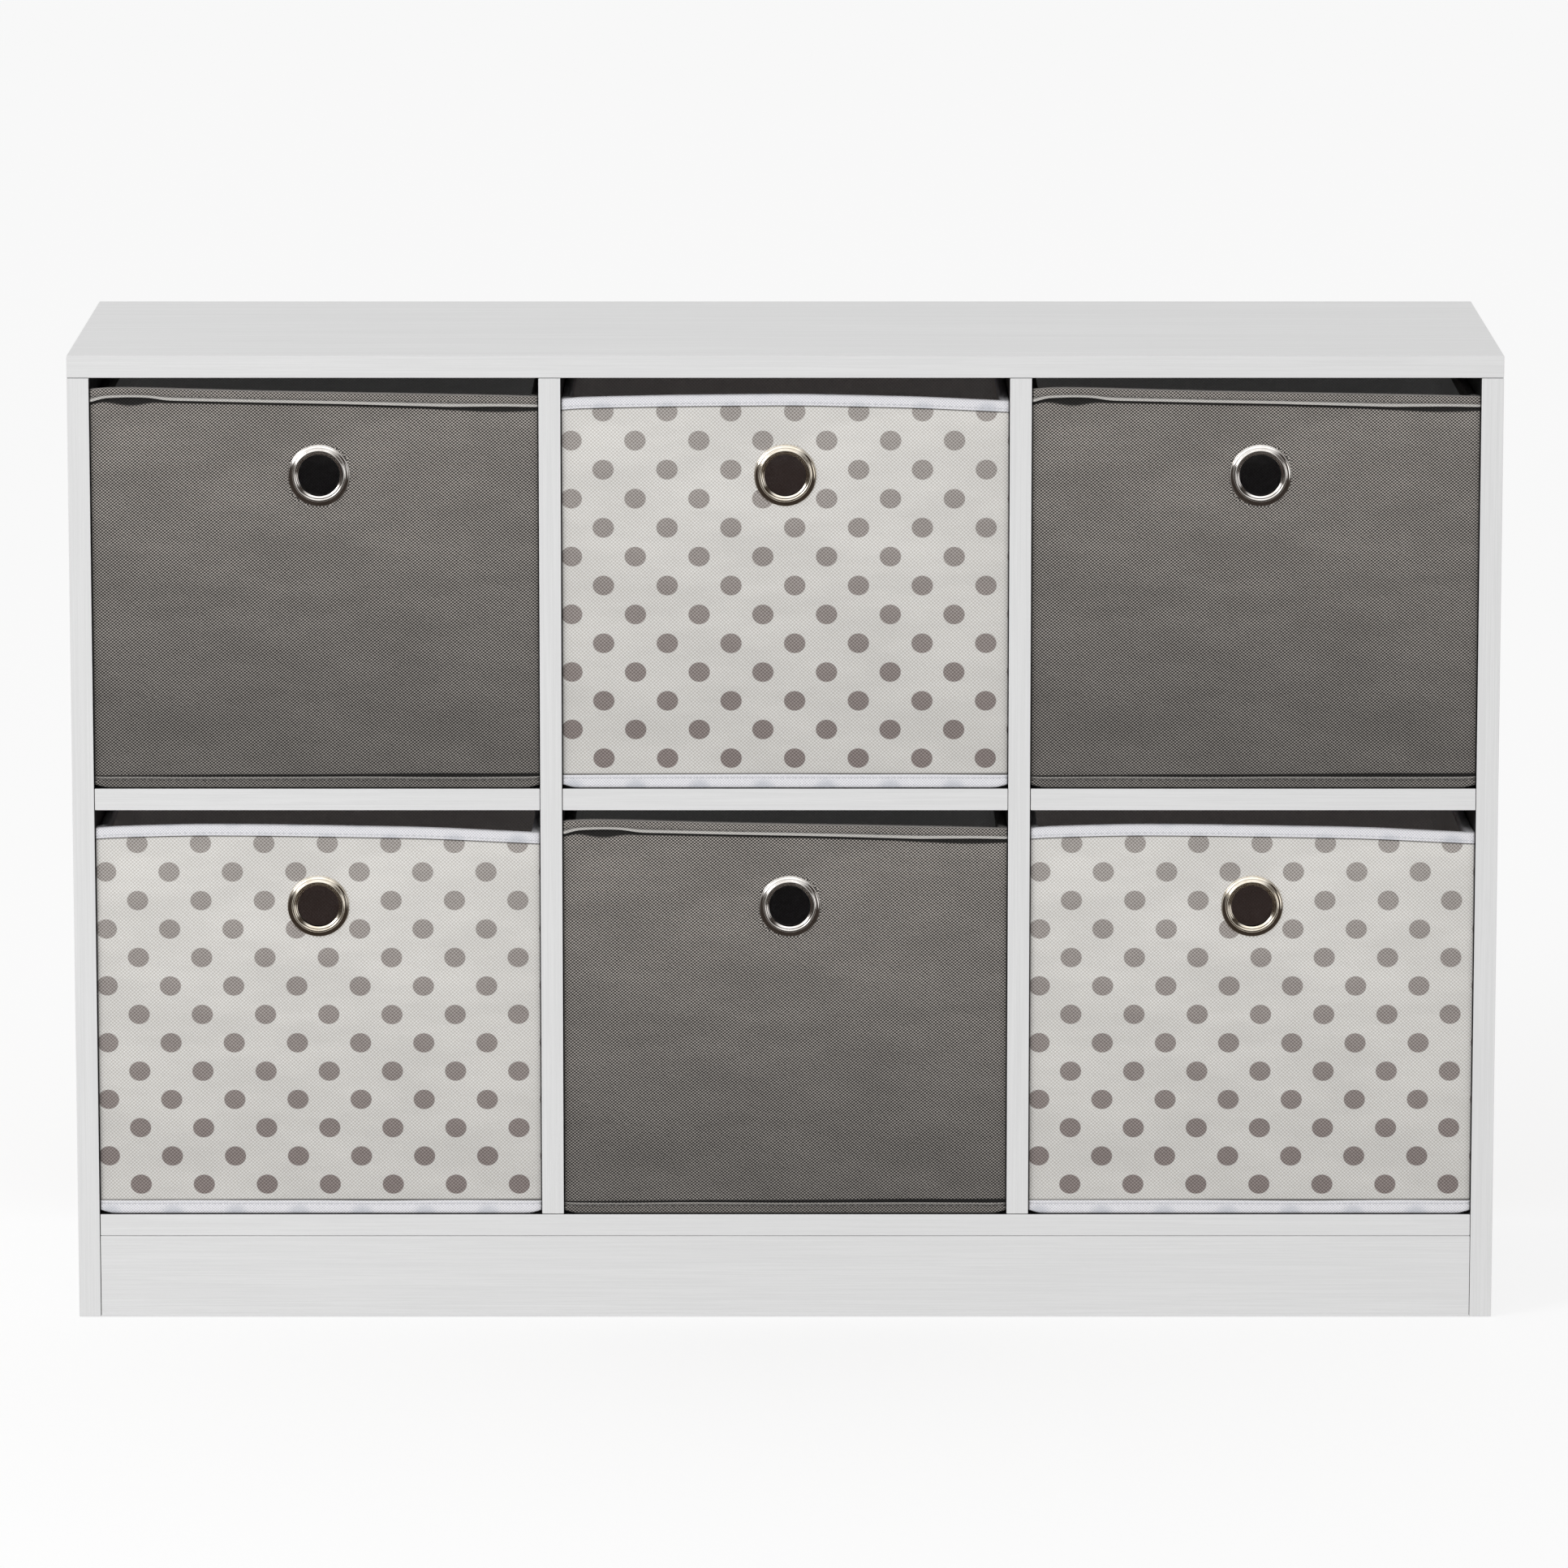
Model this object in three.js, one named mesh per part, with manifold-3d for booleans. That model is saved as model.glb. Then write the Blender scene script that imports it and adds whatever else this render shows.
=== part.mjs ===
// A free-standing six-cube storage unit: a board carcase of three columns and two rows, with a stiffened
// fabric bin in each cell. Millimetres, +Z up, front faces -Y, origin under the middle of the footprint.
import * as THREE from "three";
import { mergeVertices } from "three/addons/utils/BufferGeometryUtils.js";
import Module from "manifold-3d";

const wasm = await Module();
wasm.setup();

// Carcase
const WIDTH = 970;
const DEPTH = 300;
const BOARD = 15;
const BACK_PANEL = 3;
const PLINTH_HEIGHT = 57;
const CELL_HEIGHT = 281.5;
const COLUMNS = ["left", "centre", "right"];
const ROWS = ["bottom", "top"];
const JOINT_GAP = 0.3; // left at every butt joint between two pieces
const BACK_PANEL_INSET = 2; // from the outside of the side panels
const BACK_PANEL_REVEAL = 3; // of the bottom panel's rear edge below the back panel

// Bins
const FABRIC = 0.8;
const CARD = 2;
const CARD_DROP = 10; // from the top of the binding to the cards, which end below its stitches
const BIN_SIDE_CLEARANCE = 1.2; // from the cover to the upright beside it
const BIN_RECESS = 2.5; // of the cover's front behind the carcase's front edges
const BIN_BACK_CLEARANCE = 3.5;
const BIN_HEIGHT = 270; // to the top of the binding
const BIN_CORNER_RADIUS = 3;
const SEAM_WIDTH = 1.5; // of wall without a pocket, each side of a corner
const BINDING = 0.6;
const BINDING_DROP = 8;
const BASE_BOARD = 3;
const BASE_BOARD_CLEARANCE = 1.5;
const DOTTED_BINS = ["top_centre", "bottom_left", "bottom_right"];

// Finger eyelet, as radii about its axis
const EYELET_BORE = 14;
const EYELET_BARREL = 14.8;
const EYELET_FLANGE = 21;
const EYELET_INNER_FLANGE = 18;
const EYELET_HOLE = 15.1; // cut in the cover and the front card
const EYELET_DROP = 55.5; // from the top of the binding to the axis
const EYELET_OFFSET = { dotted: 0, grey: 3 }; // of the axis to the right of the bin's middle

const CORNER_SEGMENTS = 3;
const ROUND_SEGMENTS = 24;
const OVERCUT = 5; // how far a cutting solid runs past the face it opens

// Sizes that follow
const HEIGHT = PLINTH_HEIGHT + (ROWS.length + 1) * BOARD + ROWS.length * CELL_HEIGHT;
const INNER_WIDTH = WIDTH - 2 * BOARD;
const CELL_WIDTH = (INNER_WIDTH - (COLUMNS.length - 1) * BOARD) / COLUMNS.length;
const COLUMN_PITCH = CELL_WIDTH + BOARD;
const ROW_PITCH = CELL_HEIGHT + BOARD;
const FRONT = -DEPTH / 2;
const BOARD_REAR = DEPTH / 2 - BACK_PANEL - JOINT_GAP;
const UPRIGHT_TOP = HEIGHT - BOARD - JOINT_GAP;
const WALL = 2 * FABRIC + CARD + 2 * JOINT_GAP;
const COVER_WIDTH = CELL_WIDTH - 2 * BIN_SIDE_CLEARANCE;
const COVER_DEPTH = DEPTH - BACK_PANEL - BIN_RECESS - BIN_BACK_CLEARANCE;
const COVER_HEIGHT = BIN_HEIGHT - BINDING - JOINT_GAP;
const EYELET_HEIGHT = BIN_HEIGHT - EYELET_DROP;

const white = new THREE.MeshStandardMaterial({ color: 0xe0e0e0, roughness: 0.45, metalness: 0 });
const hardboard = new THREE.MeshStandardMaterial({ color: 0x303032, roughness: 0.7, metalness: 0 });
const greyFabric = new THREE.MeshStandardMaterial({ color: 0x77736e, roughness: 0.95, metalness: 0 });
const dottedFabric = new THREE.MeshStandardMaterial({ color: 0xd2cfca, roughness: 0.95, metalness: 0 });
const whiteBinding = new THREE.MeshStandardMaterial({ color: 0xf0f0f5, roughness: 0.9, metalness: 0 });
const greyboard = new THREE.MeshStandardMaterial({ color: 0x8a8074, roughness: 0.9, metalness: 0 });
const nickel = new THREE.MeshStandardMaterial({ color: 0xb8b6b2, roughness: 0.25, metalness: 1 });

// ---- solids -------------------------------------------------------------------------------------------------

function solidOf(geometry) {
  const bare = geometry.clone();
  bare.deleteAttribute("normal");
  bare.deleteAttribute("uv");
  const merged = mergeVertices(bare, 1e-4);
  return new wasm.Manifold(
    new wasm.Mesh({
      numProp: 3,
      vertProperties: new Float32Array(merged.attributes.position.array),
      triVerts: new Uint32Array(merged.index.array),
    }),
  );
}

function geometryOf(solid) {
  const mesh = solid.getMesh();
  const geometry = new THREE.BufferGeometry();
  geometry.setAttribute("position", new THREE.BufferAttribute(new Float32Array(mesh.vertProperties), 3));
  geometry.setIndex(new THREE.BufferAttribute(new Uint32Array(mesh.triVerts), 1));
  geometry.computeVertexNormals();
  return geometry;
}

function box(x, y, z) {
  const geometry = new THREE.BoxGeometry(x[1] - x[0], y[1] - y[0], z[1] - z[0]);
  return geometry.translate((x[0] + x[1]) / 2, (y[0] + y[1]) / 2, (z[0] + z[1]) / 2);
}

// A rounded rectangle centred on the axis, grown by offset on every side and extruded from z[0] to z[1].
function roundedPrism(offset, z) {
  const halfX = COVER_WIDTH / 2 + offset;
  const halfY = COVER_DEPTH / 2 + offset;
  const radius = Math.max(BIN_CORNER_RADIUS + offset, 1);
  const shape = new THREE.Shape();
  shape.absarc(halfX - radius, halfY - radius, radius, 0, Math.PI / 2);
  shape.absarc(radius - halfX, halfY - radius, radius, Math.PI / 2, Math.PI);
  shape.absarc(radius - halfX, radius - halfY, radius, Math.PI, 1.5 * Math.PI);
  shape.absarc(halfX - radius, radius - halfY, radius, 1.5 * Math.PI, 2 * Math.PI);
  const options = { depth: z[1] - z[0], bevelEnabled: false, curveSegments: CORNER_SEGMENTS };
  return new THREE.ExtrudeGeometry(shape, options).translate(0, 0, z[0]);
}

function named(name, geometry, material) {
  const mesh = new THREE.Mesh(geometry, material);
  mesh.name = name;
  return mesh;
}

// ---- carcase ------------------------------------------------------------------------------------------------

function board(name, x, y, z, material = white) {
  return named(name, box(x, y, z), material);
}

function sidePanels() {
  const y = [FRONT, BOARD_REAR];
  const z = [0, UPRIGHT_TOP];
  return [
    board("left_side_panel", [-WIDTH / 2, -INNER_WIDTH / 2], y, z),
    board("right_side_panel", [INNER_WIDTH / 2, WIDTH / 2], y, z),
  ];
}

// The left face of the upright at the right of a column, counted from the left.
function uprightAfter(column) {
  return -INNER_WIDTH / 2 + (column + 1) * CELL_WIDTH + column * BOARD;
}

function dividers() {
  const z = [PLINTH_HEIGHT + BOARD + JOINT_GAP, UPRIGHT_TOP];
  return ["left_divider", "right_divider"].map((name, column) => {
    const x = uprightAfter(column);
    return board(name, [x, x + BOARD], [FRONT, BOARD_REAR], z);
  });
}

function shelves() {
  const z = PLINTH_HEIGHT + BOARD + CELL_HEIGHT;
  return COLUMNS.map((column, i) => {
    const x = uprightAfter(i) - CELL_WIDTH;
    const span = [x + JOINT_GAP, x + CELL_WIDTH - JOINT_GAP];
    return board(`${column}_shelf`, span, [FRONT, BOARD_REAR], [z, z + BOARD]);
  });
}

function lowerBoards() {
  const x = [-INNER_WIDTH / 2 + JOINT_GAP, INNER_WIDTH / 2 - JOINT_GAP];
  const rail = [0, PLINTH_HEIGHT - JOINT_GAP];
  return [
    board("bottom_panel", x, [FRONT, BOARD_REAR], [PLINTH_HEIGHT, PLINTH_HEIGHT + BOARD]),
    board("front_plinth", x, [FRONT, FRONT + BOARD], rail),
    board("rear_plinth", x, [BOARD_REAR - BOARD, BOARD_REAR], rail),
  ];
}

function topPanel() {
  return board("top_panel", [-WIDTH / 2, WIDTH / 2], [FRONT, DEPTH / 2], [HEIGHT - BOARD, HEIGHT]);
}

// Lies on the rear edges of the uprights, and its top edge is under the top panel's overhang.
function backPanel() {
  const x = WIDTH / 2 - BACK_PANEL_INSET;
  const z = [PLINTH_HEIGHT + BACK_PANEL_REVEAL, UPRIGHT_TOP];
  return board("back_panel", [-x, x], [DEPTH / 2 - BACK_PANEL, DEPTH / 2], z, hardboard);
}

// ---- bins, each in its own frame: origin under the middle of the cover ---------------------------------------

const COVER_FRONT = -COVER_DEPTH / 2;

// The four wall pockets as boxes: where each stiffener card goes, grown by clearance on every side but the foot.
function pocketBoxes(clearance, top) {
  const outer = FABRIC + JOINT_GAP - clearance;
  const inner = outer + CARD + 2 * clearance;
  const end = WALL + SEAM_WIDTH + JOINT_GAP - clearance;
  const halfX = COVER_WIDTH / 2;
  const halfY = COVER_DEPTH / 2;
  const z = [FABRIC + JOINT_GAP - clearance, top];
  return {
    front: [[end - halfX, halfX - end], [outer - halfY, inner - halfY], z],
    back: [[end - halfX, halfX - end], [halfY - inner, halfY - outer], z],
    left: [[outer - halfX, inner - halfX], [end - halfY, halfY - end], z],
    right: [[halfX - inner, halfX - outer], [end - halfY, halfY - end], z],
  };
}

function eyeletHole(offset) {
  const length = WALL + 2 * OVERCUT;
  const cutter = new THREE.CylinderGeometry(EYELET_HOLE, EYELET_HOLE, length, ROUND_SEGMENTS);
  return solidOf(cutter.translate(offset, COVER_FRONT + WALL / 2, EYELET_HEIGHT));
}

// A sewn box of outer skin and lining, open at the top, with a card pocket in each wall.
function coverGeometry(offset) {
  let cover = solidOf(roundedPrism(0, [0, COVER_HEIGHT]));
  cover = cover.subtract(solidOf(roundedPrism(-WALL, [FABRIC, COVER_HEIGHT + OVERCUT])));
  for (const [x, y, z] of Object.values(pocketBoxes(JOINT_GAP, COVER_HEIGHT + OVERCUT))) {
    cover = cover.subtract(solidOf(box(x, y, z)));
  }
  return geometryOf(cover.subtract(eyeletHole(offset)));
}

function cardGeometries(offset) {
  const boxes = pocketBoxes(0, BIN_HEIGHT - CARD_DROP);
  const cards = Object.fromEntries(Object.entries(boxes).map(([side, [x, y, z]]) => [side, box(x, y, z)]));
  cards.front = geometryOf(solidOf(cards.front).subtract(eyeletHole(offset)));
  return cards;
}

// An upturned channel around the rim, over the wall's top edge.
function bindingGeometry() {
  const foot = BIN_HEIGHT - BINDING_DROP;
  const reach = BINDING + JOINT_GAP;
  const ring = solidOf(roundedPrism(reach, [foot, BIN_HEIGHT])).subtract(
    solidOf(roundedPrism(-WALL - reach, [foot - OVERCUT, BIN_HEIGHT + OVERCUT])),
  );
  const groove = solidOf(roundedPrism(JOINT_GAP, [foot - OVERCUT, BIN_HEIGHT - BINDING])).subtract(
    solidOf(roundedPrism(-WALL - JOINT_GAP, [foot - 2 * OVERCUT, BIN_HEIGHT])),
  );
  return geometryOf(ring.subtract(groove));
}

// A rolled front flange, a barrel through the wall and a smaller flange clenched over the lining.
function eyeletGeometry(offset) {
  const behind = WALL + JOINT_GAP;
  const profile = [
    [EYELET_BORE, -0.6],
    [EYELET_BORE, behind + 0.6],
    [EYELET_BORE + 1.4, behind + 1.4],
    [EYELET_INNER_FLANGE - 0.6, behind + 1],
    [EYELET_INNER_FLANGE, behind],
    [EYELET_BARREL, behind],
    [EYELET_BARREL, -JOINT_GAP],
    [EYELET_FLANGE, -JOINT_GAP],
    [EYELET_FLANGE - 0.7, -1.4],
    [EYELET_FLANGE - 2.5, -2],
    [EYELET_BORE + 2, -2],
    [EYELET_BORE + 0.6, -1.5],
    [EYELET_BORE, -0.6],
  ];
  const points = profile.map(([radius, y]) => new THREE.Vector2(radius, y));
  const lathe = new THREE.LatheGeometry(points.reverse(), ROUND_SEGMENTS);
  return lathe.translate(offset, COVER_FRONT, EYELET_HEIGHT);
}

function baseBoardGeometry() {
  const foot = FABRIC + JOINT_GAP;
  return roundedPrism(-WALL - BASE_BOARD_CLEARANCE, [foot, foot + BASE_BOARD]);
}

// The shapes of one kind of bin, shared by every bin of that kind.
function binShapes(offset) {
  return {
    cover: coverGeometry(offset),
    cards: cardGeometries(offset),
    base_board: baseBoardGeometry(),
    rim_binding: bindingGeometry(),
    eyelet: eyeletGeometry(offset),
  };
}

const KINDS = {
  dotted: { ...binShapes(EYELET_OFFSET.dotted), cloth: dottedFabric, binding: whiteBinding },
  grey: { ...binShapes(EYELET_OFFSET.grey), cloth: greyFabric, binding: greyFabric },
};

function bin(place) {
  const kind = DOTTED_BINS.includes(place) ? KINDS.dotted : KINDS.grey;
  const group = new THREE.Group();
  group.add(named(`${place}_bin_cover`, kind.cover, kind.cloth));
  for (const [side, shape] of Object.entries(kind.cards)) {
    group.add(named(`${place}_bin_${side}_card`, shape, greyboard));
  }
  group.add(named(`${place}_bin_base_board`, kind.base_board, kind.cloth));
  group.add(named(`${place}_bin_rim_binding`, kind.rim_binding, kind.binding));
  group.add(named(`${place}_bin_eyelet`, kind.eyelet, nickel));
  return group;
}

function bins() {
  const made = [];
  ROWS.forEach((row, level) => {
    COLUMNS.forEach((column, i) => {
      const group = bin(`${row}_${column}`);
      const x = (i - 1) * COLUMN_PITCH;
      const y = FRONT + BIN_RECESS + COVER_DEPTH / 2;
      const z = PLINTH_HEIGHT + BOARD + level * ROW_PITCH + JOINT_GAP;
      group.position.set(x, y, z);
      made.push(group);
    });
  });
  return made;
}

const unit = new THREE.Group();
unit.add(topPanel(), ...sidePanels(), ...dividers(), ...shelves(), ...lowerBoards(), backPanel(), ...bins());

export default unit;
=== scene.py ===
"""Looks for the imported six-cube storage unit: foil-covered boards, six fabric bins, floor, light and camera.

Lengths are in millimetres until a mesh is made. A bin is made in its own frame, x to the right, y to the
back and z up, with its origin under the middle of its cover, and then moved to its cell. A place on its cloth
is given by u, the distance round the bin from the middle of its front, and z, the height above its underside.
"""
import math

import bpy
import numpy as np
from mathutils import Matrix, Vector, noise


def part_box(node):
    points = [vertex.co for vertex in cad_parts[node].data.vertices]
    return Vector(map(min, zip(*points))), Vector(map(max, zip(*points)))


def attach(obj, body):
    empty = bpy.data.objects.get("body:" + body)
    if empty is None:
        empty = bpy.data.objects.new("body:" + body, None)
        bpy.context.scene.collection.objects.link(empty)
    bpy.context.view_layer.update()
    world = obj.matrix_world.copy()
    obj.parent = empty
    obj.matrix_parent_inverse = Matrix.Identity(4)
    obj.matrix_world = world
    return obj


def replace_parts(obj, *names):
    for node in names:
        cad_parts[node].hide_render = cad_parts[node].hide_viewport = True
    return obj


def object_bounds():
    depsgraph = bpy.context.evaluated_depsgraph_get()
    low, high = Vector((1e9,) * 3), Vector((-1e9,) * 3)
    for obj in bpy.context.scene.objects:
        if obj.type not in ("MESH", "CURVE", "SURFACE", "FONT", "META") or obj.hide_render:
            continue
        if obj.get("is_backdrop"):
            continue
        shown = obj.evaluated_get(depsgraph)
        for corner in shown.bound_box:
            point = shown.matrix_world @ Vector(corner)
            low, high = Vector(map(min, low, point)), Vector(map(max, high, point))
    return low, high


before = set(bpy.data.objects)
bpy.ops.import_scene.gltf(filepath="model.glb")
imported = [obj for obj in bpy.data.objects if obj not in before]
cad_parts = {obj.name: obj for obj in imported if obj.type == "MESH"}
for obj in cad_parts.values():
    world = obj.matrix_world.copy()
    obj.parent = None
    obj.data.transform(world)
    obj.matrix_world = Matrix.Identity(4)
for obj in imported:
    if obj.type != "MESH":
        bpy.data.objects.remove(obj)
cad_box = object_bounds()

MM = 0.001


def half_size(node):
    """Half a node's size along x, y and z, in millimetres."""
    low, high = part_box(node)
    return (high - low) / 2 / MM


# Read off the frame
COVER_HALF_WIDTH, HALF_DEPTH, _ = half_size("top_left_bin_cover")
BASE_HALF_WIDTH, BASE_HALF_DEPTH, BASE_HALF_HEIGHT = half_size("top_left_bin_base_board")
COVER_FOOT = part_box("top_left_bin_cover")[0].z
RIM = (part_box("top_left_bin_rim_binding")[1].z - COVER_FOOT) / MM
BOARD_LOW = (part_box("top_left_bin_base_board")[0].z - COVER_FOOT) / MM

# Cloth construction
FULLNESS = 0.78  # of the cloth at the sides beyond the cover's solid, so that a bin fills its cell
HALF_WIDTH = COVER_HALF_WIDTH + FULLNESS
SIDE_PRESS = 0.10  # share of a fold's thickness left at the sides, where the cell presses it flat
CORNER = 1.0  # radius of the skin's corners, seen from above
TIGHTEST_CORNER = 0.6
CLOTH = 0.8  # thickness
WALL = 4.2  # from the skin's face to the lining's face
INSIDE = -3  # out of the skin; a point of a fold further in than this lies against the lining
OUTSIDE = 0.2  # out of the skin; a point of a fold further out than this is seen from outside
SKIN_TOP = 1.3  # from the rim down to the top edges of the skin and the lining, inside the binding
FOOT_ROUND = 3  # radius of the skin's turn under at its foot
FOOT = 0.4  # of the skin's underside above the hem's
LINING_FOOT = 1.6  # of the lining's lower edge above the bin's underside

# Eyelet
EYELET_CUT = 16  # radius of the hole in the cloth, hidden under the flange
CUT_MARGIN = 0.6  # faces that reach this far into the cut are still kept and pulled out to its edge
EYELET_BORE = 14.1
EYELET_FLANGE = 21
EYELET_STEPS = 96

# Mesh steps
FRONT_STEP = 3.4
SIDE_STEP = 9
CORNER_STEPS = 4
ROW_STEP = 3.4
NEAR_FOLD = 15  # length of wall at the foot and at the rim that has closer rows
FOOT_ROW_STEP = 0.9
RIM_ROW_STEP = 0.6
LINING_ROWS = 60
TURN_STEPS = 4

FRONT_LENGTH = HALF_WIDTH - CORNER
ARC_LENGTH = CORNER * math.pi / 2
SIDE_LENGTH = 2 * (HALF_DEPTH - CORNER)
GIRTH = 4 * FRONT_LENGTH + 4 * ARC_LENGTH + 2 * SIDE_LENGTH

# Rim height above the nominal one, at points across the front from left (-1) to right (1)
GREY_RIM = (
    (-1, 3.3), (-0.93, 4.4), (-0.86, 4.6), (-0.3, 2.3), (0.06, 1.2), (0.62, -0.2), (0.87, -1.0),
    (1, -1.6),
)
DOTTED_RIM_HIGH = ((-1, -3.4), (-0.93, -2.3), (-0.5, -0.9), (0.05, -0.2), (0.6, -2.0), (1, -4.8))
DOTTED_RIM_LOW = ((-1, -1.4), (-0.93, -0.5), (-0.58, 1.0), (-0.25, 0.8), (0, 0.2), (0.5, -1.1), (1, -4.7))
RIM_SOFT = 0.12  # share of the half width over which each of these points is rounded off
RIM_END = 0.8  # share of the half width from which the rounding tightens
RIM_END_SOFT = 0.03
SIDE_RIM = -7  # the rim's height on the sides and the back, where it sags
SIDE_RIM_REACH = 50  # distance from a front corner over which the rim gets there

# Slack of the skin over its card
SLACK = 0.9
SIDE_SLACK = 0.25  # share of it left at the sides
FRONT_REACH = 25  # distance from a front corner over which it becomes full
MOST_SLACK = 2.6
SKIN_WAVES = ((0.8, 95, 0), (0.35, 34, 40))  # height, size and seed step of each layer of waves
WRINKLE_DEPTH = {"grey": 0.8, "dotted": 1.5}
WRINKLE_WIDTH = 5
WRINKLE_WANDER = 12  # how far the wrinkle at the eyelet's height strays up and down
SECOND_WRINKLE = (0.6, 22, 6)  # of a second one below it: share of the depth, drop and width
DIMPLE_START = 3  # inside the eyelet's flange, up to where the cloth is held flat
DIMPLE_REACH = 26  # from there to where the skin has its slack
RIM_HOLD = 12  # below the skin's top, over which the binding holds the slack back
BINS = {
    "top_left": {"cloth": "grey", "rim": GREY_RIM, "seed": 1},
    "top_centre": {"cloth": "dotted", "rim": DOTTED_RIM_HIGH, "seed": 2},
    "top_right": {"cloth": "grey", "rim": GREY_RIM, "seed": 3},
    "bottom_left": {"cloth": "dotted", "rim": DOTTED_RIM_LOW, "seed": 4},
    "bottom_centre": {"cloth": "grey", "rim": GREY_RIM, "seed": 5},
    "bottom_right": {"cloth": "dotted", "rim": DOTTED_RIM_LOW, "seed": 6},
}


# ---- shader nodes --------------------------------------------------------------------------------

class NodeTree:
    """Short calls that add nodes to a node tree. Each one returns an output socket."""

    def __init__(self, owner):
        owner.use_nodes = True
        self.nodes = owner.node_tree.nodes
        self.links = owner.node_tree.links

    def put(self, socket, value):
        if isinstance(value, bpy.types.NodeSocket):
            self.links.new(value, socket)
        elif socket.type == "RGBA" and len(value) == 3:
            socket.default_value = (*value, 1)
        else:
            socket.default_value = value

    def node(self, kind, inputs, output=0, **settings):
        """Adds a node of a kind, with its inputs by place or name and its settings."""
        made = self.nodes.new("ShaderNode" + kind)
        for name, value in settings.items():
            setattr(made, name, value)
        for place, value in inputs.items():
            self.put(made.inputs[place], value)
        return made.outputs[output]

    def math(self, operation, a, b=0.0, c=0.0):
        return self.node("Math", {0: a, 1: b, 2: c}, operation=operation)

    def vector(self, operation, a, b=(0, 0, 0), output="Vector"):
        return self.node("VectorMath", {0: a, 1: b}, output, operation=operation)

    def part(self, vector, axis):
        return self.node("SeparateXYZ", {0: vector}, axis)

    def step(self, value, low, high, to_low=0.0, to_high=1.0):
        """A smooth step from to_low, where value is low, to to_high, where it is high."""
        inputs = {"Value": value, "From Min": low, "From Max": high, "To Min": to_low, "To Max": to_high}
        return self.node("MapRange", inputs, interpolation_type="SMOOTHSTEP")

    def noise(self, place, scale, detail=2.0, roughness=0.5):
        """Noise over millimetres; scale is one number, or one for each axis."""
        if isinstance(scale, tuple):
            place = self.vector("MULTIPLY", place, scale)
            scale = 1.0
        inputs = {"Vector": place, "Scale": scale, "Detail": detail, "Roughness": roughness}
        return self.node("TexNoise", inputs)

    def mix(self, factor, a, b, blend="MIX"):
        made = self.nodes.new("ShaderNodeMix")
        made.data_type = "RGBA"
        made.blend_type = blend
        self.put(made.inputs["Factor"], factor)
        for name, value in (("A", a), ("B", b)):
            socket = next(s for s in made.inputs if s.name == name and s.type == "RGBA")
            self.put(socket, value)
        return next(s for s in made.outputs if s.type == "RGBA")

    def bump(self, height, distance, under=None):
        """A normal for a height of 0 to 1 that stands for distance millimetres, on top of under."""
        inputs = {"Height": height, "Distance": distance * MM}
        if under is not None:
            inputs["Normal"] = under
        return self.node("Bump", inputs)

    def place(self):
        """Where the surface is in the row frame, in millimetres."""
        coordinates = self.node("TexCoord", {}, "Object")
        return self.vector("MULTIPLY", coordinates, (1 / MM,) * 3)

    def cloth_place(self):
        """u and z on the cloth, in millimetres."""
        return self.vector("MULTIPLY", self.node("UVMap", {}, uv_map="cloth"), (1 / MM,) * 3)


class Shader(NodeTree):
    """One material's nodes."""

    def __init__(self, name, **values):
        self.material = bpy.data.materials.new(name)
        super().__init__(self.material)
        self.out(**values)

    def out(self, **values):
        """Sets sockets of the principled shader, with _ for a space in their names."""
        for socket, value in values.items():
            self.put(self.nodes["Principled BSDF"].inputs[socket.replace("_", " ")], value)
        return self.material


# ---- carcase materials ---------------------------------------------------------------------------

WHITE = (0.765, 0.765, 0.765)
WHITE_PORE = (0.715, 0.715, 0.715)
# Near-black foil inside the cells: painted shade, standing in for the deep shade there
SHADE_BLACK = (0.024, 0.024, 0.025)
SHADE_BLACK_PORE = (0.042, 0.042, 0.043)
HARDBOARD = (0.25, 0.15, 0.085)
HARDBOARD_FLECK = (0.15, 0.085, 0.045)
HARDBOARD_CLOUD = (0.31, 0.20, 0.12)
STEEL = (0.5, 0.5, 0.51)


def foil(name, along, light, pore, roughness, depth):
    """Foil printed and embossed with a wood grain that runs along one axis of the row frame."""
    shader = Shader(name, IOR=1.48)
    place = shader.place()
    fine, broad = (tuple(share if axis == along else 1.0 for axis in "xyz") for share in (0.011, 0.02))
    pores = shader.noise(shader.vector("MULTIPLY", place, fine), 1.15, 4, 0.65)
    bands = shader.noise(shader.vector("MULTIPLY", place, broad), 0.11, 3, 0.55)
    streak = shader.step(pores, 0.36, 0.62)
    tone = shader.mix(streak, pore, light)
    tone = shader.mix(shader.step(bands, 0.3, 0.7, 0.0, 0.4), tone, pore)
    rough = shader.step(bands, 0.2, 0.8, roughness - 0.04, roughness + 0.06)
    return shader.out(Base_Color=tone, Roughness=rough, Normal=shader.bump(streak, depth))


def raw_hardboard():
    """The pressed brown rear of the back panel, with flecks and a faint mesh imprint."""
    shader = Shader("raw_hardboard", Roughness=0.82)
    place = shader.place()
    flecks = shader.noise(place, 0.9, 4, 0.7)
    clouds = shader.noise(place, 0.02, 3, 0.6)
    tone = shader.mix(shader.step(flecks, 0.35, 0.7), HARDBOARD_FLECK, HARDBOARD)
    tone = shader.mix(shader.step(clouds, 0.35, 0.7, 0, 0.5), tone, HARDBOARD_CLOUD)
    mesh = shader.node("TexVoronoi", {"Vector": place, "Scale": 0.55, "Randomness": 0.25}, "Distance")
    return shader.out(Base_Color=tone, Normal=shader.bump(mesh, 0.12))


def pin_steel():
    """Plain steel with rough and smooth patches."""
    shader = Shader("pin_steel", Metallic=1.0, Base_Color=STEEL)
    scratches = shader.noise(shader.place(), 1.4, 3, 0.7)
    return shader.out(Roughness=shader.step(scratches, 0.3, 0.7, 0.28, 0.5))


# ---- cloth materials -----------------------------------------------------------------------------

# Every pit tone here and below darkens the pits of an emboss: painted shade in its recesses
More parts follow.
